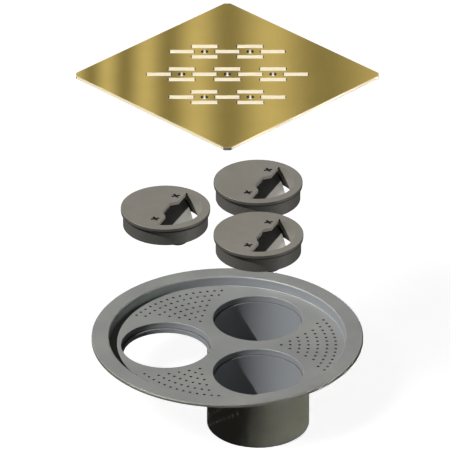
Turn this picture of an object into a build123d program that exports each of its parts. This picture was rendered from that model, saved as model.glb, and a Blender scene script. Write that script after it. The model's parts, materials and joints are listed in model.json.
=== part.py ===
from build123d import *
import os
from math import cos, degrees, radians, sin

# Floor drain with a lift-off cover and three lift-out one-way valves.
# Millimetres, +Z up. The origin is on the pan's axis, at the level of the outlet tubes' lower ends.
# The cover and the valves are drawn lifted straight up out of the pan, the flaps part open.

# Drain pan
FLANGE_RADIUS = 100.0
RECESS_RADIUS = 86.9
RECESS_DEPTH = 8.0
PAN_SHEET = 2.4
FLOOR_SHEET = 1.5
FLOOR_TOP = 43.0
LIP_FILLET = 1.2
FLOOR_FILLET = 0.8
UNDERSIDE_FILLET = 5.0
RIM_FILLET = 0.7

# Valve holes, at the corners of a triangle about the pan's axis
HOLE_PITCH_RADIUS = 45.1
HOLE_ANGLES = {"left": 225.0, "front": -15.0, "rear": 105.0}
HOLE_RADIUS = 33.0
HOLE_EDGE_FILLET = 0.4

# Fans of small drain holes between the valve holes: (radius of the arc, holes on it)
FAN_ANGLES = (45.0, 165.0, 285.0)
FAN_ARCS = ((39.8, 1), (46.5, 3), (53.1, 5), (59.8, 7), (66.7, 9), (73.6, 13), (80.0, 15))
FAN_PITCH = 5.4
FAN_HOLE_RADIUS = 1.05

# Outlet tubes and the short collar
TUBE_OUTER_RADIUS = 37.5
TUBE_BORE_RADIUS = 32.0
COLLAR_BORE_RADIUS = 31.5
SEAT_DEPTH = 5.0
COLLAR_DEPTH = 8.3
TUBE_END_CHAMFER = 1.0

# Cover plate
COVER_SIDE = 158.0
COVER_THICK = 2.5
COVER_CORNER_CUT = 3.5
COVER_EDGE_CHAMFER = 0.3
COVER_LIFT = 216.0
SLOT_ROW_ANGLE = 45.0
ROW_PITCH = 34.5
CELL_PITCH = 33.0
CELL_SLOT_LENGTH = 20.0
CELL_SLOT_OFFSET = 8.0
LINK_SLOT_LENGTH = 18.7
SLOT_WIDTH = 5.0
SLOT_CORNER_RADIUS = 0.9
CELL_HOLE_RADIUS = 2.75
STUD_RADIUS = 2.5
STUD_LENGTH = 5.0
STUD_PITCH_RADIUS = 83.8
STUD_ANGLES = (45.0, 135.0, 225.0, 315.0)

# Valve body. In a valve's own frame +X points to the flap's side, +Y along the hinge, z = 0 is the top
VALVE_ANGLE = 21.3
VALVE_LIFT = 118.0
VALVE_FLANGE_RADIUS = 32.7
VALVE_FLANGE_THICK = 2.4
VALVE_HEIGHT = 14.4
SKIRT_RADIUS = 31.1
SKIRT_INNER_RADIUS = 26.6
OPENING_CHORD = 5.1
NOTCH_FOOT = 0.4
NOTCH_WIDE = 11.7
NOTCH_NARROW = 7.0
VALVE_EDGE_FILLET = 0.3

# Stake marks above the hinge lugs: two crossed bars each
STAKE_OFFSET = 18.5
STAKE_LENGTH = 6.4
STAKE_WIDTH = 1.9
STAKE_DEPTH = 1.6
STAKE_ANGLE = 40.0

# Seat gasket under the valve's flange
GASKET_INNER_RADIUS = 31.2
GASKET_OUTER_RADIUS = 32.5
GASKET_THICK = 0.8

# Hinge
HINGE_DROP = 5.0
PIN_RADIUS = 1.0
PIN_HALF_LENGTH = 21.0
LUG_THICK = 3.0
LUG_HALF_WIDTH = 2.0
LUG_BORE_GAP = 0.03
KNUCKLE_RADIUS = 1.9
KNUCKLE_INNER = 9.5
KNUCKLE_OUTER = 16.2
KNUCKLE_GAP = 0.07

# Flap and its seal. Heights are above the hinge axis with the flap closed
FLAP_OPEN_ANGLE = 48.0
FLAP_RADIUS = 25.6
FLAP_TOP = 2.3
FLAP_THICK = 1.0
FLAP_ROOT = -0.5
FLAP_SHOULDER = 3.2
SEAL_RADIUS = 26.3
SEAL_THICK = 1.0
SEAL_ROOT = 3.6

# Tail and counterweight, measured out from the hinge axis
TAIL_ANGLE = 50.0
TAIL_HALF_WIDTH = 14.0
TAIL_START = 1.4
TAIL_END = 19.0
TAIL_THICK = 1.0
WEIGHT_START = 11.0
WEIGHT_HALF_LENGTH = 17.0
WEIGHT_THICK = 6.5
WEIGHT_EDGE_FILLET = 0.8
RIVET_RADIUS = 1.2
RIVET_HEAD_RADIUS = 2.2
RIVET_HEAD_THICK = 0.8
RIVET_OFFSET = 7.0
RIVET_GAP = 0.05

# Levels worked out from the above
FLANGE_TOP = FLOOR_TOP + RECESS_DEPTH
FLOOR_UNDERSIDE = FLOOR_TOP - FLOOR_SHEET
SEAT_LEVEL = FLOOR_TOP - SEAT_DEPTH
VALVE_TOP = SEAT_LEVEL + GASKET_THICK + VALVE_FLANGE_THICK + VALVE_LIFT
COVER_UNDERSIDE = FLANGE_TOP + COVER_LIFT
CUT_MARGIN = 1.0


def polar(radius, angle):
    """A point at a radius and angle about the pan's axis."""
    return radius * cos(radians(angle)), radius * sin(radians(angle))


def disc(radius, low, high):
    """A solid disc between two heights."""
    return Pos(0, 0, (low + high) / 2) * Cylinder(radius, high - low)


def ring(inner, outer, low, high):
    """A flat ring or tube between two heights."""
    return disc(outer, low, high) - disc(inner, low - CUT_MARGIN, high + CUT_MARGIN)


def block(x_range, y_range, z_range):
    """A box between two limits along each axis."""
    sizes = [high - low for low, high in (x_range, y_range, z_range)]
    middle = [(low + high) / 2 for low, high in (x_range, y_range, z_range)]
    return Pos(*middle) * Box(*sizes)


def rod_along_y(radius, start, end):
    """A round bar along Y on the hinge axis."""
    return Pos(0, (start + end) / 2, 0) * Rot(90, 0, 0) * Cylinder(radius, end - start)


def at_hole(name, height=0.0):
    """The place of a valve hole, at a height."""
    return Pos(*polar(HOLE_PITCH_RADIUS, HOLE_ANGLES[name]), height)


# ---- pan and outlets ----

def rounded_section(corners):
    """A closed face in the XZ plane from (radius, height, fillet) corners."""
    face = make_face(Plane.XZ * Polyline([(r, z) for r, z, _ in corners], close=True))
    for r, z, radius in corners:
        if radius:
            face = fillet(face.vertices().sort_by_distance((r, 0, z))[0], radius)
    return face


def fan_holes():
    """Centres of the small drain holes, arc by arc, in each fan."""
    for fan_angle in FAN_ANGLES:
        for radius, count in FAN_ARCS:
            step = degrees(FAN_PITCH / radius)
            for index in range(count):
                yield polar(radius, fan_angle + (index - (count - 1) / 2) * step)


def drain_pan():
    wall_outside = RECESS_RADIUS + PAN_SHEET
    flange_underside = FLANGE_TOP - PAN_SHEET
    section = rounded_section([
        (0, FLOOR_TOP, 0),
        (RECESS_RADIUS, FLOOR_TOP, FLOOR_FILLET),
        (RECESS_RADIUS, FLANGE_TOP, LIP_FILLET),
        (FLANGE_RADIUS, FLANGE_TOP, RIM_FILLET),
        (FLANGE_RADIUS, flange_underside, 0),
        (wall_outside, flange_underside, 0),
        (wall_outside, FLOOR_UNDERSIDE, UNDERSIDE_FILLET),
        (0, FLOOR_UNDERSIDE, 0),
    ])
    pan = revolve(section, Axis.Z)
    low, high = FLOOR_UNDERSIDE - CUT_MARGIN, FLOOR_TOP + CUT_MARGIN
    pan -= [at_hole(name) * disc(HOLE_RADIUS, low, high) for name in HOLE_ANGLES]
    rims = [edge for edge in pan.edges().filter_by(GeomType.CIRCLE)
            if abs(edge.radius - HOLE_RADIUS) < 0.01 and edge.center().Z > FLOOR_TOP - 0.1]
    pan = fillet(rims, HOLE_EDGE_FILLET)
    pan -= [Pos(x, y, 0) * disc(FAN_HOLE_RADIUS, low, high) for x, y in fan_holes()]
    return pan


def seat_collar(name):
    """Short collar: the valve's seat is the step inside it."""
    bottom = FLOOR_TOP - COLLAR_DEPTH
    collar = ring(COLLAR_BORE_RADIUS, TUBE_OUTER_RADIUS, bottom, FLOOR_UNDERSIDE)
    collar -= disc(HOLE_RADIUS, SEAT_LEVEL, FLOOR_UNDERSIDE + CUT_MARGIN)
    return at_hole(name) * collar


def outlet_tube(name):
    """Outlet tube: the valve's seat is a small step near its top, and its lower end takes the pipe."""
    tube = ring(TUBE_BORE_RADIUS, TUBE_OUTER_RADIUS, 0, FLOOR_UNDERSIDE)
    tube = chamfer(tube.edges().filter_by(GeomType.CIRCLE).group_by(Axis.Z)[0], TUBE_END_CHAMFER)
    tube -= disc(HOLE_RADIUS, SEAT_LEVEL, FLOOR_UNDERSIDE + CUT_MARGIN)
    return at_hole(name) * tube


# ---- cover ----

def slot_places():
    """(along the row, across the rows, length) for every slot of the cover, and the cells' middles."""
    slots, cells = [], []
    for row in (-1, 0, 1):
        across = row * ROW_PITCH
        cell_count = 3 if row == 0 else 2
        half_run = (cell_count - 1) / 2
        for index in range(cell_count):
            along = (index - half_run) * CELL_PITCH
            cells.append((along, across))
            for side in (-1, 1):
                slots.append((along, across + side * CELL_SLOT_OFFSET, CELL_SLOT_LENGTH))
        for index in range(cell_count + 1):
            along = (index - half_run - 0.5) * CELL_PITCH
            slots.append((along, across, LINK_SLOT_LENGTH))
    return slots, cells


def cover_plate():
    outline = chamfer(Rectangle(COVER_SIDE, COVER_SIDE).vertices(), COVER_CORNER_CUT)
    plate = extrude(outline, COVER_THICK)
    plate = chamfer(plate.edges().group_by(Axis.Z)[-1], COVER_EDGE_CHAMFER)
    slots, cells = slot_places()
    cut_height = COVER_THICK + 2 * CUT_MARGIN
    cutters = [Pos(along, across, -CUT_MARGIN)
               * extrude(RectangleRounded(length, SLOT_WIDTH, SLOT_CORNER_RADIUS), cut_height)
               for along, across, length in slots]
    cutters += [Pos(along, across, 0) * disc(CELL_HOLE_RADIUS, -CUT_MARGIN, cut_height)
                for along, across in cells]
    plate -= [Rot(0, 0, SLOT_ROW_ANGLE) * cutter for cutter in cutters]
    return Pos(0, 0, COVER_UNDERSIDE) * plate


def cover_studs():
    """Four studs under the cover's corners, which stand just inside the recess wall."""
    stud = disc(STUD_RADIUS, -STUD_LENGTH, 0)
    stud = fillet(stud.edges().group_by(Axis.Z)[0], STUD_RADIUS * 0.3)
    places = [polar(STUD_PITCH_RADIUS, angle) for angle in STUD_ANGLES]
    return Compound(children=[Pos(x, y, COVER_UNDERSIDE) * stud for x, y in places])


# ---- valve, in its own frame ----

def opening_cutter():
    """The half-round opening with the notch over the hinge."""
    low, high = -VALVE_FLANGE_THICK - CUT_MARGIN, CUT_MARGIN
    reach = VALVE_FLANGE_RADIUS + CUT_MARGIN
    half_disc = disc(SKIRT_INNER_RADIUS, low, high) & block((OPENING_CHORD, reach), (-reach, reach), (low, high))
    notch = Polyline((OPENING_CHORD + CUT_MARGIN, NOTCH_WIDE), (OPENING_CHORD, NOTCH_WIDE),
                     (NOTCH_FOOT, NOTCH_NARROW), (NOTCH_FOOT, -NOTCH_NARROW),
                     (OPENING_CHORD, -NOTCH_WIDE), (OPENING_CHORD + CUT_MARGIN, -NOTCH_WIDE), close=True)
    return half_disc + Pos(0, 0, low) * extrude(make_face(notch), high - low)


def stake_cutters():
    """Crossed marks sunk in the top over each hinge lug."""
    low, high = -STAKE_DEPTH, CUT_MARGIN
    bar = block((-STAKE_LENGTH / 2, STAKE_LENGTH / 2), (-STAKE_WIDTH / 2, STAKE_WIDTH / 2), (low, high))
    return [Pos(0, side * STAKE_OFFSET, 0) * Rot(0, 0, turn) * bar
            for side in (-1, 1) for turn in (-STAKE_ANGLE, STAKE_ANGLE)]


def valve_body():
    top = disc(VALVE_FLANGE_RADIUS, -VALVE_FLANGE_THICK, 0)
    top = fillet(top.edges().filter_by(GeomType.CIRCLE), VALVE_EDGE_FILLET)
    skirt = disc(SKIRT_RADIUS, -VALVE_HEIGHT, -VALVE_FLANGE_THICK)
    skirt = chamfer(skirt.edges().group_by(Axis.Z)[0], VALVE_EDGE_FILLET)
    body = top + skirt
    body -= disc(SKIRT_INNER_RADIUS, -VALVE_HEIGHT - CUT_MARGIN, -VALVE_FLANGE_THICK)
    body -= opening_cutter()
    return body - stake_cutters()


def seat_gasket():
    return ring(GASKET_INNER_RADIUS, GASKET_OUTER_RADIUS,
                -VALVE_FLANGE_THICK - GASKET_THICK, -VALVE_FLANGE_THICK)


def hinge_lugs():
    """Two lugs under the disc that hold the ends of the pin."""
    lugs = []
    for side in (-1, 1):
        middle = side * STAKE_OFFSET
        near, far = middle - LUG_THICK / 2, middle + LUG_THICK / 2
        lug = block((-LUG_HALF_WIDTH, LUG_HALF_WIDTH), (near, far), (0, HINGE_DROP - VALVE_FLANGE_THICK))
        lug += rod_along_y(LUG_HALF_WIDTH, near, far)
        lug -= rod_along_y(PIN_RADIUS + LUG_BORE_GAP, near - CUT_MARGIN, far + CUT_MARGIN)
        lugs.append(Pos(0, 0, -HINGE_DROP) * lug)
    return Compound(children=lugs)


def hinge_pin():
    pin = rod_along_y(PIN_RADIUS, -PIN_HALF_LENGTH, PIN_HALF_LENGTH)
    pin = chamfer(pin.edges().filter_by(GeomType.CIRCLE), PIN_RADIUS * 0.3)
    return Pos(0, 0, -HINGE_DROP) * pin


# ---- flap, closed, with the hinge axis along Y through its origin ----

def half_round(radius, root, low, high):
    """The part of a disc beyond a straight root edge."""
    reach = radius + CUT_MARGIN
    return disc(radius, low, high) & block((root, reach), (-reach, reach), (low, high))


def on_tail(shape):
    """Tilts something modelled along -X down to the tail's angle."""
    return Rot(0, -TAIL_ANGLE, 0) * shape


def rivet_places():
    middle = (WEIGHT_START + TAIL_END) / 2
    return [Pos(-middle, side * RIVET_OFFSET, 0) for side in (-1, 1)]


def flap_plate():
    low = FLAP_TOP - FLAP_THICK
    flap = half_round(FLAP_RADIUS, FLAP_SHOULDER, low, FLAP_TOP)
    flap += block((FLAP_ROOT, FLAP_SHOULDER), (-KNUCKLE_OUTER, KNUCKLE_OUTER), (low, FLAP_TOP))
    tail = block((-TAIL_END, -TAIL_START), (-TAIL_HALF_WIDTH, TAIL_HALF_WIDTH),
                 (-TAIL_THICK / 2, TAIL_THICK / 2))
    flap += on_tail(tail)
    for side in (-1, 1):
        inner, outer = sorted((side * KNUCKLE_INNER, side * KNUCKLE_OUTER))
        flap += rod_along_y(KNUCKLE_RADIUS, inner, outer)
    flap -= rod_along_y(PIN_RADIUS + KNUCKLE_GAP, -PIN_HALF_LENGTH, PIN_HALF_LENGTH)
    hole = disc(RIVET_RADIUS + RIVET_GAP, -CUT_MARGIN, CUT_MARGIN)
    return flap - [on_tail(place * hole) for place in rivet_places()]


def flap_seal():
    """Rubber facing under the flap, whose edge stands out to the skirt's inner wall."""
    top = FLAP_TOP - FLAP_THICK
    return half_round(SEAL_RADIUS, SEAL_ROOT, top - SEAL_THICK, top)


def counterweight():
    """Bar under the tail, whose weight closes the flap."""
    top = -TAIL_THICK / 2
    bar = block((-TAIL_END, -WEIGHT_START), (-WEIGHT_HALF_LENGTH, WEIGHT_HALF_LENGTH),
                (top - WEIGHT_THICK, top))
    bar = fillet(bar.edges().group_by(Axis.Z)[0], WEIGHT_EDGE_FILLET)
    hole = disc(RIVET_RADIUS + RIVET_GAP, top - WEIGHT_THICK - CUT_MARGIN, top + CUT_MARGIN)
    return on_tail(bar - [place * hole for place in rivet_places()])


def counterweight_rivets():
    """Two rivets down through the tail and the bar."""
    seat = TAIL_THICK / 2
    rivet = disc(RIVET_RADIUS, -seat - WEIGHT_THICK, seat)
    head = disc(RIVET_HEAD_RADIUS, seat, seat + RIVET_HEAD_THICK)
    rivet += fillet(head.edges().group_by(Axis.Z)[-1], RIVET_HEAD_THICK * 0.6)
    return Compound(children=[on_tail(place * rivet) for place in rivet_places()])


# ---- the whole drain ----

def drain_nodes():
    """Every piece by name, in place."""
    nodes = {
        "drain_pan": drain_pan(),
        "seat_collar_left": seat_collar("left"),
        "outlet_tube_front": outlet_tube("front"),
        "outlet_tube_rear": outlet_tube("rear"),
        "cover_plate": cover_plate(),
        "cover_studs": cover_studs(),
    }
    fixed_pieces = {"valve_body": valve_body(), "seat_gasket": seat_gasket(),
                    "hinge_lugs": hinge_lugs(), "hinge_pin": hinge_pin()}
    swinging_pieces = {"flap": flap_plate(), "flap_seal": flap_seal(),
                       "counterweight": counterweight(), "counterweight_rivets": counterweight_rivets()}
    swing = Pos(0, 0, -HINGE_DROP) * Rot(0, FLAP_OPEN_ANGLE, 0)
    for valve in HOLE_ANGLES:
        place = at_hole(valve, VALVE_TOP) * Rot(0, 0, VALVE_ANGLE)
        for piece, shape in fixed_pieces.items():
            nodes[f"{piece}_{valve}"] = place * shape
        for piece, shape in swinging_pieces.items():
            nodes[f"{piece}_{valve}"] = place * swing * shape
    return nodes


os.makedirs("parts", exist_ok=True)
for node, shape in drain_nodes().items():
    export_step(shape, f"parts/{node}.step")
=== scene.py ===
import json
from math import cos, pi, radians, sin

import bmesh
import bpy
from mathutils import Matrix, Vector

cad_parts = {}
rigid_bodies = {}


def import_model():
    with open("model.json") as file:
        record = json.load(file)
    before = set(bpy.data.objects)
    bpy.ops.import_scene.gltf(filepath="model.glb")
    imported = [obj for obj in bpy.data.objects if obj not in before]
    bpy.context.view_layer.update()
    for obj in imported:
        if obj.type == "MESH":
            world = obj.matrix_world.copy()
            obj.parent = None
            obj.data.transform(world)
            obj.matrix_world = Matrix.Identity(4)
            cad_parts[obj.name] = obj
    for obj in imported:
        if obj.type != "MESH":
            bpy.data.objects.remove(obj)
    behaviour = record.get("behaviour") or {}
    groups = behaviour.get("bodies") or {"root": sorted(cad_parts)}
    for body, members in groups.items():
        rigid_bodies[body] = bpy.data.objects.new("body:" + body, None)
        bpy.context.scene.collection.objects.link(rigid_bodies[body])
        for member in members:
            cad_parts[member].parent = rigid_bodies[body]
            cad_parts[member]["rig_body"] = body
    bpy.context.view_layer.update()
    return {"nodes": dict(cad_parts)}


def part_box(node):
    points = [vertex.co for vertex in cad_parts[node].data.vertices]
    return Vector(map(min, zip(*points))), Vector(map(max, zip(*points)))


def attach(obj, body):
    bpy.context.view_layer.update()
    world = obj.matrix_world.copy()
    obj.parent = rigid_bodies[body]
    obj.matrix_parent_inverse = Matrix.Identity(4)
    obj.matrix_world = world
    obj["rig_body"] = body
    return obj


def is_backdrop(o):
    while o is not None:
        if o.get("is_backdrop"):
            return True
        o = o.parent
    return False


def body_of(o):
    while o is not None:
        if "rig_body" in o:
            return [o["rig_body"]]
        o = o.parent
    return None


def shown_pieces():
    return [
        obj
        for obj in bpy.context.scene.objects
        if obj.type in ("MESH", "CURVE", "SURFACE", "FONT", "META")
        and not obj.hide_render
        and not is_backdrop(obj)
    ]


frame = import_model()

VALVES = ("left", "front", "rear")
VALVE_ANGLE = 21.3
MM = 0.001

# The camera looks across the cover's diagonal
VIEW_AZIMUTH = 45.0
VIEW_ELEVATION = 29.5
CAMERA_DISTANCE = 6.0
FRAME_WIDTH = 328.5 * MM
AIM_HEIGHT = 144.3 * MM
AIM_RIGHT = -1.7 * MM
SENSOR_WIDTH = 36.0

# Each group of pieces has its own key light, so that no group shades the one beneath it.
# (plan angle of travel from the camera's right towards away, drop angle, strength, softness)
KEYS = {
    "pan": (30.0, 48.0, 4.7, 0.3),
    "valves": (12.0, 45.0, 4.9, 1.0),
    "flaps": (12.0, 75.0, 6.0, 1.0),
    "cover": (76.0, 42.0, 4.6, 3.0),
    "floor": (37.0, 50.0, 1.0, 20.0),
}
# Fills: level from the right, and rising from behind
FILLS = {"right": (155.0, 0.0, 2.0, 6.0), "back": (-75.0, -10.0, 0.8, 20.0)}
WORLD_STRENGTH = 0.05
FLOOR_GLOW = 0.91

# Distances from their own axes at which the outsides of the tubes and of the pan's rim start; the outsides are
# painted darker as shade
TUBE_OUTSIDE_FROM = 35.0 * MM
RIM_FROM = 98.5 * MM

# Distances from a valve's axis between which its tone changes from the inner wall's to the outside's, which is
# painted darker as shade
SKIRT_WALL = (27.5 * MM, 29.5 * MM)

# Distances from the axis between which the cover's cut edge turns from pale cream, painted light, to the
# painted shade of its cut corners
CORNER_START = (108.6 * MM, 109.0 * MM)

# Distances from the axis between which the slots' cut faces give way to the cover's outer edges
SLOTS_END = (70.0 * MM, 72.0 * MM)

# Distances from a flap's hinge between which it changes from a painted shadow, black, to the pale plate
FLAP_PAINTED_SHADOW = (7.7 * MM, 8.1 * MM)

# The cover's soft bands, a painted reflection: number to the left of the axis, growth of their width per metre,
# and phase
PAINTED_SHEEN_BANDS = (2.262, 8.5, 2 * pi * 4.74)


# ---- directions and places ----

def camera_axes():
    """Unit vectors to the camera's right, and level away from it."""
    a = radians(VIEW_AZIMUTH)
    return Vector((cos(a), sin(a), 0)), Vector((-sin(a), cos(a), 0))


def travel_direction(plan_angle, drop_angle):
    """The way light travels, its plan angle counted from the camera's right towards away."""
    right, away = camera_axes()
    level = right * cos(radians(plan_angle)) + away * sin(radians(plan_angle))
    return (level * cos(radians(drop_angle)) - Vector((0, 0, sin(radians(drop_angle))))).normalized()


def middle(node):
    low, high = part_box(node)
    return (low + high) / 2


# ---- material building blocks ----

class Graph:
    """A material's node tree with short calls for the nodes that this scene uses."""

    def __init__(self, name):
        self.material = bpy.data.materials.new(name)
        self.material.use_nodes = True
        self.tree = self.material.node_tree
        self.shader = next(n for n in self.tree.nodes if n.type == "BSDF_PRINCIPLED")

    def add(self, kind, **values):
        node = self.tree.nodes.new(kind)
        for key, value in values.items():
            setattr(node, key, value)
        return node

    def join(self, source, target):
        self.tree.links.new(source, target)

    def place(self, offset=(0, 0, 0), scale=(1, 1, 1), turn=0.0):
        """Object coordinates in the row frame, turned about Z, shifted and scaled, in that order."""
        coords = self.add("ShaderNodeTexCoord")
        mapping = self.add("ShaderNodeMapping")
        mapping.inputs["Rotation"].default_value = (0, 0, radians(turn))
        shift = self.add("ShaderNodeVectorMath", operation="SUBTRACT")
        shift.inputs[1].default_value = offset
        stretch = self.add("ShaderNodeVectorMath", operation="MULTIPLY")
        stretch.inputs[1].default_value = scale
        self.join(coords.outputs["Object"], mapping.inputs["Vector"])
        self.join(mapping.outputs["Vector"], shift.inputs[0])
        self.join(shift.outputs[0], stretch.inputs[0])
        return stretch.outputs[0]

    def noise(self, vector, scale, detail=3.0, roughness=0.5):
        node = self.add("ShaderNodeTexNoise")
        node.inputs["Scale"].default_value = scale
        node.inputs["Detail"].default_value = detail
        node.inputs["Roughness"].default_value = roughness
        self.join(vector, node.inputs["Vector"])
        return node.outputs["Fac"]

    def math(self, operation, a, b=None):
        node = self.add("ShaderNodeMath", operation=operation)
        for socket, value in zip(node.inputs, (a, b)):
            if value is None:
                continue
            if isinstance(value, (int, float)):
                socket.default_value = value
            else:
                self.join(value, socket)
        return node.outputs[0]

    def spread(self, value, low, high, to_low, to_high):
        """Maps a range onto another, and holds it there."""
        node = self.add("ShaderNodeMapRange")
        for index, number in enumerate((low, high, to_low, to_high), start=1):
            node.inputs[index].default_value = number
        self.join(value, node.inputs["Value"])
        return node.outputs["Result"]

    def mix(self, factor, a, b):
        """Colour mix; a and b are colours or sockets."""
        node = self.add("ShaderNodeMix", data_type="RGBA")
        self.join(factor, node.inputs["Factor"])
        for name, value in (("A", a), ("B", b)):
            socket = next(s for s in node.inputs if s.name == name and s.type == "RGBA")
            if isinstance(value, tuple):
                socket.default_value = (*value, 1.0)
            else:
                self.join(value, socket)
        return next(s for s in node.outputs if s.type == "RGBA")

    def facing_up(self, low=0.35, high=0.85):
        """1 on faces that look up, 0 on walls."""
        geometry = self.add("ShaderNodeNewGeometry")
        split = self.add("ShaderNodeSeparateXYZ")
        self.join(geometry.outputs["True Normal"], split.inputs[0])
        return self.spread(split.outputs["Z"], low, high, 0.0, 1.0)

    def facing_along(self, direction, low=0.10, high=0.40):
        """1 on faces that look along the direction or against it, 0 on faces across it."""
        geometry = self.add("ShaderNodeNewGeometry")
        along = self.add("ShaderNodeVectorMath", operation="DOT_PRODUCT")
        along.inputs[1].default_value = direction
        self.join(geometry.outputs["True Normal"], along.inputs[0])
        return self.spread(self.math("ABSOLUTE", along.outputs["Value"]), low, high, 0.0, 1.0)

    def axis_distance(self, centre):
        """Distance from an upright axis, in metres."""
        vector = self.place(offset=(centre[0], centre[1], 0), scale=(1, 1, 0))
        length = self.add("ShaderNodeVectorMath", operation="LENGTH")
        self.join(vector, length.inputs[0])
        return length.outputs["Value"]

    def openness(self, reach, closed, clear):
        """0 in holes and corners narrower than the reach, 1 on open faces."""
        node = self.add("ShaderNodeAmbientOcclusion")
        node.inputs["Distance"].default_value = reach
        return self.spread(node.outputs["AO"], closed, clear, 0.0, 1.0)

    def rings(self, centre, scale, detail=2.0):
        """Fine turning marks about an upright axis."""
        radius = self.axis_distance(centre)
        spot = self.add("ShaderNodeCombineXYZ")
        self.join(radius, spot.inputs[0])
        return self.noise(spot.outputs[0], scale, detail)

    def widening_bands(self, vector, count, growth, phase):
        """A wave along X from -1 to 1, whose bands widen steadily with X."""
        split = self.add("ShaderNodeSeparateXYZ")
        self.join(vector, split.inputs[0])
        fade = self.math("EXPONENT", self.math("MULTIPLY", split.outputs["X"], -growth))
        return self.math("COSINE", self.math("ADD", self.math("MULTIPLY", fade, -2 * pi * count), phase))

    def bump(self, height, strength, distance):
        node = self.add("ShaderNodeBump")
        node.inputs["Strength"].default_value = strength
        node.inputs["Distance"].default_value = distance
        self.join(height, node.inputs["Height"])
        self.join(node.outputs[0], self.shader.inputs["Normal"])

    def finish(self, metallic, colour, roughness):
        """Sets the shader's main inputs; metallic is a number or a socket."""
        if isinstance(metallic, float):
            self.shader.inputs["Metallic"].default_value = metallic
        else:
            self.join(metallic, self.shader.inputs["Metallic"])
        self.join(colour, self.shader.inputs["Base Color"])
        self.join(roughness, self.shader.inputs["Roughness"])
        return self.material


def cover_brass():
    """Brushed gold sheet with fine grain and soft bands along one diagonal, which are a painted reflection.
    Its pale cut edges are painted cream where lit and dark where shaded, as painted light and shade.
    """
    g = Graph("cover_brass")
    # Painted reflection: soft bands along one diagonal set the face's tone between dark and bright gold
    bands = g.widening_bands(g.place(turn=-VIEW_AZIMUTH), *PAINTED_SHEEN_BANDS)
    grain = g.noise(g.place(turn=-VIEW_AZIMUTH, scale=(2200, 30, 30)), 1.0, 3.0, 0.6)
    cloud = g.noise(g.place(), 30.0, 4.0)
    face = g.mix(g.spread(bands, -1.0, 1.0, 0.0, 1.0), (0.355, 0.258, 0.064), (0.80, 0.595, 0.168))
    face = g.mix(g.spread(grain, 0.3, 0.7, 0.0, 0.14), face, (0.62, 0.50, 0.20))
    face = g.mix(g.spread(cloud, 0.4, 0.75, 0.0, 0.10), face, (0.16, 0.11, 0.03))
    from_axis = g.axis_distance((0, 0))
    # Painted light and shade on the slots' cut faces: pale cream across the rows, dark along them, as at the
    # slots' ends
    cut = g.mix(g.facing_along(camera_axes()[0]), (0.86, 0.77, 0.56), (0.035, 0.026, 0.018))
    # Painted light and shade on the outer cut edges: pale cream, turning dark grey at the cut corners
    edge = g.mix(g.spread(from_axis, *CORNER_START, 0.0, 1.0), (0.93, 0.84, 0.62), (0.09, 0.09, 0.09))
    edge = g.mix(g.spread(from_axis, *SLOTS_END, 0.0, 1.0), cut, edge)
    flat = g.facing_along((0, 0, 1), 0.35, 0.85)
    colour = g.mix(flat, edge, face)
    g.bump(grain, 0.10, 0.00004)
    return g.finish(g.spread(flat, 0.0, 1.0, 0.05, 0.45), colour,
                    g.spread(grain, 0.2, 0.8, 0.56, 0.66))


def pan_steel(name, centre, outside_from):
    """Satin steel turned about an upright axis, with cloudy handling marks. Inner walls are painted a little
    paler and bluer than the tops as painted light; walls beyond a distance from the axis are the outside,
    painted warmer and darker as shade; holes and narrow corners are painted near black as shade."""
    g = Graph(name)
    marks = g.rings(centre, 1400.0, 3.0)
    cloud = g.noise(g.place(), 24.0, 5.0, 0.6)
    speck = g.noise(g.place(), 1500.0, 2.0)
    face = g.mix(g.spread(cloud, 0.3, 0.7, 0.0, 1.0), (0.262, 0.268, 0.258), (0.315, 0.318, 0.300))
    # Painted light and shade on the walls: inner walls paler and bluer than the top, the outside darker and
    # warmer
    outside = g.spread(g.axis_distance(centre), outside_from, outside_from + 1.0 * MM, 0.0, 1.0)
    wall = g.mix(outside, (0.285, 0.297, 0.315), (0.190, 0.181, 0.148))
    colour = g.mix(g.facing_up(), wall, face)
    colour = g.mix(g.spread(speck, 0.55, 0.75, 0.0, 0.12), colour, (0.42, 0.42, 0.41))
    # Painted shade: holes and narrow corners are darkened to near black
    colour = g.mix(g.openness(2.5 * MM, 0.40, 0.78), (0.012, 0.012, 0.012), colour)
    height = g.math("ADD", g.math("MULTIPLY", marks, 0.6), g.math("MULTIPLY", speck, 0.4))
    g.bump(height, 0.08, 0.00004)
    return g.finish(0.30, colour, g.spread(cloud, 0.3, 0.7, 0.50, 0.60))


def valve_steel(name, centre):
    """Warm grey satin casting, fine turned on top. The skirt's outside is painted much darker as shade,
    and holes and narrow corners are painted near black as shade.
    """
    g = Graph(name)
    marks = g.rings(centre, 1800.0, 3.0)
    cloud = g.noise(g.place(), 40.0, 4.0, 0.6)
    cast = g.noise(g.place(), 900.0, 4.0, 0.6)
    top = g.mix(g.spread(cloud, 0.3, 0.7, 0.0, 1.0), (0.258, 0.243, 0.212), (0.300, 0.285, 0.252))
    # Painted shade: the skirt's outside is much darker than the top and the inner wall
    outside = g.mix(g.spread(cast, 0.3, 0.7, 0.0, 1.0), (0.105, 0.099, 0.088), (0.140, 0.132, 0.118))
    side = g.mix(g.spread(g.axis_distance(centre), *SKIRT_WALL, 0.0, 1.0), top, outside)
    colour = g.mix(g.facing_up(), side, top)
    # Painted shade: holes and narrow corners are darkened to near black
    colour = g.mix(g.openness(3.5 * MM, 0.48, 0.80), (0.012, 0.012, 0.012), colour)
    height = g.math("ADD", g.math("MULTIPLY", marks, 0.4), g.math("MULTIPLY", cast, 0.6))
    g.bump(height, 0.10, 0.00005)
    return g.finish(0.30, colour, g.spread(cast, 0.3, 0.7, 0.38, 0.50))


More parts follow.
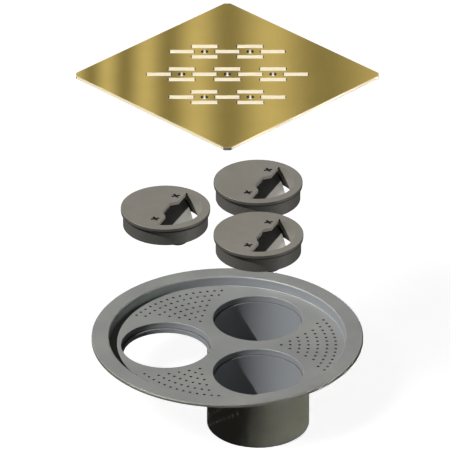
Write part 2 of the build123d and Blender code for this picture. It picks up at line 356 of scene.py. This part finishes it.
def flap_steel(name, hinge_place):
    """Pale satin plate with a painted shadow, a black band along the hinge; hinge_place is the axis' middle in
    plan.
    """
    g = Graph(name)
    turn = radians(VALVE_ANGLE)
    offset = (hinge_place.x * cos(turn) + hinge_place.y * sin(turn), 0, 0)
    split = g.add("ShaderNodeSeparateXYZ")
    g.join(g.place(offset=offset, turn=-VALVE_ANGLE), split.inputs[0])
    grain = g.noise(g.place(), 700.0, 4.0, 0.6)
    cloud = g.noise(g.place(), 60.0, 4.0, 0.6)
    plate = g.mix(g.spread(cloud, 0.3, 0.7, 0.0, 1.0), (0.25, 0.245, 0.23), (0.33, 0.32, 0.30))
    # Painted shadow: a black band along the hinge, where the disc's straight edge would shade the flap
    painted_hinge_shadow = g.mix(g.spread(grain, 0.3, 0.7, 0.0, 1.0), (0.003, 0.003, 0.003), (0.012, 0.012, 0.011))
    colour = g.mix(g.spread(split.outputs["X"], *FLAP_PAINTED_SHADOW, 0.0, 1.0), painted_hinge_shadow, plate)
    g.bump(grain, 0.10, 0.00004)
    return g.finish(0.2, colour, g.spread(grain, 0.3, 0.7, 0.40, 0.52))


def plain_metal(name, dark, light, roughness, metallic=0.8, scale=600.0):
    """Small metal parts: a fine grain in tone, gloss and height."""
    g = Graph(name)
    grain = g.noise(g.place(), scale, 4.0, 0.6)
    colour = g.mix(g.spread(grain, 0.3, 0.7, 0.0, 1.0), dark, light)
    g.bump(grain, 0.10, 0.00004)
    return g.finish(metallic, colour, g.spread(grain, 0.3, 0.7, roughness - 0.05, roughness + 0.06))


def black_rubber():
    g = Graph("rubber")
    grain = g.noise(g.place(), 1800.0, 4.0, 0.6)
    colour = g.mix(g.spread(grain, 0.3, 0.7, 0.0, 1.0), (0.016, 0.016, 0.017), (0.040, 0.040, 0.042))
    g.bump(grain, 0.25, 0.00006)
    return g.finish(0.0, colour, g.spread(grain, 0.3, 0.7, 0.62, 0.78))


# ---- pieces that the frame doesn't hold ----

def weld_bead(name, node, pan_underside):
    """The weld between a tube and the pan's underside: overlapping ripples round the joint."""
    low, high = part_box(node)
    centre, tube_radius = (low + high) / 2, (high.x - low.x) / 2
    leg, ripple_pitch, around, section = 1.3 * MM, 1.6 * MM, 600, 10
    ripples = round(2 * pi * tube_radius / ripple_pitch)
    mesh = bmesh.new()
    loops = []
    for index in range(around):
        turn = 2 * pi * index / around
        phase = (index / around * ripples) % 1.0
        size = leg * (0.78 + 0.22 * sin(pi * phase) + 0.05 * sin(7 * turn) + 0.04 * sin(17 * turn + 1.0))
        loop = []
        for step in range(section + 1):
            swing = pi / 2 * step / section
            bulge = 1 - 0.24 * sin(2 * swing)
            out, down = size * cos(swing) * bulge, size * sin(swing) * bulge
            radius = tube_radius + out
            loop.append(mesh.verts.new((centre.x + radius * cos(turn), centre.y + radius * sin(turn),
                                        pan_underside - down)))
        inside = tube_radius - 0.15 * MM
        corner = (centre.x + inside * cos(turn), centre.y + inside * sin(turn), pan_underside + 0.1 * MM)
        loop.append(mesh.verts.new(corner))
        loops.append(loop)
    for here, there in zip(loops, loops[1:] + loops[:1]):
        count = len(here)
        for step in range(count):
            after = (step + 1) % count
            mesh.faces.new((here[step], here[after], there[after], there[step]))
    bmesh.ops.recalc_face_normals(mesh, faces=mesh.faces)
    data = bpy.data.meshes.new(name)
    mesh.to_mesh(data)
    mesh.free()
    bead = bpy.data.objects.new(name, data)
    bpy.context.scene.collection.objects.link(bead)
    data.polygons.foreach_set("use_smooth", [True] * len(data.polygons))
    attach(bead, "drain_pan")
    return bead


# ---- stage ----

def make_floor():
    """A wide pale floor under the tubes, which glows a little so that its shadows stay light."""
    bpy.ops.mesh.primitive_plane_add(size=40, location=(0, 0, -0.2 * MM))
    floor = bpy.context.object
    floor.name = "floor"
    mat = bpy.data.materials.new("floor_paint")
    mat.use_nodes = True
    shader = mat.node_tree.nodes["Principled BSDF"]
    shader.inputs["Base Color"].default_value = (0.55, 0.55, 0.55, 1.0)
    shader.inputs["Roughness"].default_value = 1.0
    shader.inputs["Specular IOR Level"].default_value = 0.0
    shader.inputs["Emission Color"].default_value = (1.0, 1.0, 1.0, 1.0)
    shader.inputs["Emission Strength"].default_value = FLOOR_GLOW
    floor.data.materials.append(mat)
    floor.visible_diffuse = False
    floor.visible_glossy = False
    floor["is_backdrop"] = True
    return floor


def make_world():
    world = bpy.data.worlds.new("studio")
    world.use_nodes = True
    background = world.node_tree.nodes["Background"]
    background.inputs["Color"].default_value = (1.0, 1.0, 1.0, 1.0)
    background.inputs["Strength"].default_value = WORLD_STRENGTH
    bpy.context.scene.world = world


def sun(name, plan_angle, drop_angle, strength, softness):
    lamp = bpy.data.lights.new(name, "SUN")
    lamp.energy = strength
    lamp.angle = radians(softness)
    obj = bpy.data.objects.new(name, lamp)
    obj.rotation_mode = "QUATERNION"
    obj.rotation_quaternion = travel_direction(plan_angle, drop_angle).to_track_quat("-Z", "Y")
    bpy.context.scene.collection.objects.link(obj)
    return obj


def gather(name, objects):
    collection = bpy.data.collections.new(name)
    for obj in objects:
        collection.objects.link(obj)
    return collection


def make_keys(groups, blockers):
    """One key light per group, which lights that group alone."""
    for name, objects in groups.items():
        key = sun("key_" + name, *KEYS[name])
        key.light_linking.receiver_collection = gather("lit_by_key_" + name, objects)
        key.light_linking.blocker_collection = gather("shades_key_" + name, blockers[name])


def make_fills(group, objects, blockers):
    """The fills for one group of pieces; only the blockers stop them."""
    lit, shading = gather("lit_by_fills_" + group, objects), gather("shades_fills_" + group, blockers)
    for name, values in FILLS.items():
        fill = sun(f"fill_{name}_{group}", *values)
        fill.light_linking.receiver_collection = lit
        fill.light_linking.blocker_collection = shading


def make_camera():
    right, away = camera_axes()
    back = travel_direction(90.0, VIEW_ELEVATION) * -1
    camera = bpy.data.cameras.new("camera")
    camera.sensor_width = SENSOR_WIDTH
    camera.lens = SENSOR_WIDTH * CAMERA_DISTANCE / FRAME_WIDTH
    camera.clip_end = 100.0
    obj = bpy.data.objects.new("camera", camera)
    aim = right * AIM_RIGHT + Vector((0, 0, AIM_HEIGHT))
    obj.location = aim + back * CAMERA_DISTANCE
    obj.rotation_mode = "QUATERNION"
    obj.rotation_quaternion = (-back).to_track_quat("-Z", "Y")
    bpy.context.scene.collection.objects.link(obj)
    bpy.context.scene.camera = obj


# ---- putting it together ----

def dress(node, material):
    """Gives a CAD node its finish."""
    obj = frame["nodes"][node]
    obj.data.materials.clear()
    obj.data.materials.append(material)


def dress_all():
    dress("drain_pan", pan_steel("pan_steel", (0.0, 0.0), RIM_FROM))
    for node in ("seat_collar_left", "outlet_tube_front", "outlet_tube_rear"):
        dress(node, pan_steel("steel_" + node, middle(node), TUBE_OUTSIDE_FROM))
    dress("cover_plate", cover_brass())
    dress("cover_studs", plain_metal("stud_brass", (0.40, 0.30, 0.10), (0.60, 0.48, 0.20), 0.35))
    lug_steel = plain_metal("lug_steel", (0.10, 0.10, 0.09), (0.16, 0.155, 0.145), 0.42, 0.5)
    pin_steel = plain_metal("pin_steel", (0.46, 0.46, 0.45), (0.62, 0.62, 0.60), 0.24, 0.95)
    weight_brass = plain_metal("weight_brass", (0.22, 0.18, 0.09), (0.34, 0.28, 0.15), 0.5, 0.6)
    rubber = black_rubber()
    for valve in VALVES:
        body_steel = valve_steel("valve_steel_" + valve, middle("valve_body_" + valve))
        flap = flap_steel("flap_steel_" + valve, middle("hinge_pin_" + valve))
        for piece, material in (("valve_body", body_steel), ("hinge_lugs", lug_steel),
                                ("flap", flap), ("hinge_pin", pin_steel),
                                ("counterweight", weight_brass), ("counterweight_rivets", pin_steel),
                                ("flap_seal", rubber), ("seat_gasket", rubber)):
            dress(f"{piece}_{valve}", material)


dress_all()
pan_low, pan_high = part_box("drain_pan")
weld_steel = plain_metal("weld_steel", (0.16, 0.16, 0.16), (0.26, 0.255, 0.25), 0.38, 0.7)
for valve, node in (("left", "seat_collar_left"), ("front", "outlet_tube_front"), ("rear", "outlet_tube_rear")):
    weld_bead("weld_bead_" + valve, node, pan_low.z).data.materials.append(weld_steel)

floor = make_floor()
make_world()
shown = [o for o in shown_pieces()]
of_body = {o: body_of(o)[0] for o in shown}
pan_pieces = [o for o in shown if of_body[o] == "drain_pan"]
cover_pieces = [o for o in shown if of_body[o] == "cover"]
valve_pieces = [o for o in shown if of_body[o] not in ("drain_pan", "cover")]
flap_plates = [frame["nodes"]["flap_" + valve] for valve in VALVES]
still_pieces = [o for o in valve_pieces if o not in flap_plates]
make_keys({"pan": pan_pieces, "valves": still_pieces, "flaps": flap_plates, "cover": cover_pieces,
           "floor": [floor]},
          {"pan": pan_pieces + cover_pieces, "valves": valve_pieces, "flaps": flap_plates,
           "cover": cover_pieces, "floor": shown})
valve_bodies = [frame["nodes"]["valve_body_" + valve] for valve in VALVES]
inner_pieces = [o for o in valve_pieces if o not in valve_bodies]
make_fills("inside_valves", inner_pieces, shown)
make_fills("outside", pan_pieces + cover_pieces + valve_bodies, pan_pieces + cover_pieces)
make_camera()
bpy.context.scene.view_settings.view_transform = "Standard"
